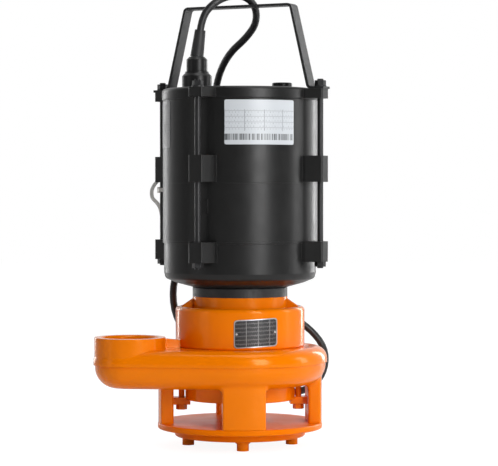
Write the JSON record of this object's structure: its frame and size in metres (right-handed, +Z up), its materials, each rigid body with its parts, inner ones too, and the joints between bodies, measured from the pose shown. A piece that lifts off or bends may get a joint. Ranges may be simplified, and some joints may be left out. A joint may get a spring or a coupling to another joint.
{
  "type": "submersible pump",
  "caption": "Upright submersible pump: spiral casing on a legged suction stand, side discharge boss, oil housing, cylindrical sealed motor with tie rods, strap handle and supply cable.",
  "frame": {"origin": "pump axis at the floor plane, centre of the circle of stub feet", "axes": "+Z up along the shaft, discharge arm towards -X, front leg towards -Y"},
  "size_m": [0.3195, 0.3128, 0.6099],
  "materials": {
    "orange_casting": "gloss enamel over sand casting",
    "black_plastic": "moulded, satin",
    "bright_steel": "satin",
    "dark_steel": "black coated",
    "zinc_steel": "plated",
    "core_steel": "laminated",
    "copper_winding": "varnished wire and insulation",
    "cast_aluminium": "as cast",
    "dark_aluminium": "black painted casting",
    "iron": "machined casting",
    "brass_fitting": "turned",
    "black_rubber": "matt",
    "seal_ceramic": "lapped",
    "white_plastic": "moulded",
    "cream_plastic": "moulded",
    "cable_rubber": "smooth, satin"
  },
  "bodies": {
    "root": {"stub_feet": "orange_casting", "floor_plate": "orange_casting", "base_plate": "orange_casting", "leg_screws": "zinc_steel", "volute_casing": "orange_casting", "suction_cover": "orange_casting", "cover_bolts": "zinc_steel", "cover_seal": "black_rubber", "oil_housing": "orange_casting", "housing_screws": "zinc_steel", "housing_seal": "black_rubber", "oil_plug": "orange_casting", "seal_seat": "seal_ceramic", "lip_seal": "black_rubber", "bearing_bracket": "dark_aluminium", "bracket_screws": "zinc_steel", "lower_bearing_outer": "bright_steel", "upper_bearing_outer": "bright_steel", "stator_core": "core_steel", "lower_winding": "copper_winding", "upper_winding": "copper_winding", "stator_frame": "cast_aluminium", "upper_bracket": "cast_aluminium", "motor_bowl": "black_plastic", "mid_shell": "black_plastic", "upper_shell": "black_plastic", "shell_seals": "black_rubber", "top_cap": "black_plastic", "terminal_block": "cream_plastic", "run_capacitor": "white_plastic", "tie_rods": "dark_steel", "rod_nuts_lower": "dark_steel", "rod_nuts_upper": "dark_steel", "rod_washers": "dark_steel", "lifting_handle": "dark_steel", "gland_base": "black_plastic", "gland_seal": "black_rubber", "gland_nut": "black_plastic", "cable_boot": "black_rubber", "vent_plug": "black_plastic", "cable_lead": "cable_rubber", "cable_tail": "cable_rubber", "cable_coil": "cable_rubber", "cable_plug": "black_rubber", "plug_pins": "brass_fitting", "cable_ties": "white_plastic"},
    "rotor": {"shaft": "bright_steel", "impeller": "iron", "impeller_key": "bright_steel", "impeller_nut": "bright_steel", "rotor_core": "core_steel", "rotor_rings": "cast_aluminium", "seal_face": "seal_ceramic", "seal_bellows": "black_rubber", "lower_bearing_inner": "bright_steel", "upper_bearing_inner": "bright_steel"},
    "lower_cage": {"lower_bearing_balls": "bright_steel"},
    "upper_cage": {"upper_bearing_balls": "bright_steel"}
  },
  "joints": [
    {"name": "rotor_spin", "type": "hinge", "parent": "root", "child": "rotor", "pos_m": [0, 0, 0.2], "axis": [0, 0, 1], "continuous": true},
    {"name": "lower_cage_spin", "type": "hinge", "parent": "root", "child": "lower_cage", "pos_m": [0, 0, 0.213], "axis": [0, 0, 1], "continuous": true},
    {"name": "upper_cage_spin", "type": "hinge", "parent": "root", "child": "upper_cage", "pos_m": [0, 0, 0.3715], "axis": [0, 0, 1], "continuous": true}
  ],
  "couplings": [
    {"joint": "lower_cage_spin", "follows": "rotor_spin", "ratio": 0.3969},
    {"joint": "upper_cage_spin", "follows": "rotor_spin", "ratio": 0.3815}
  ]
}
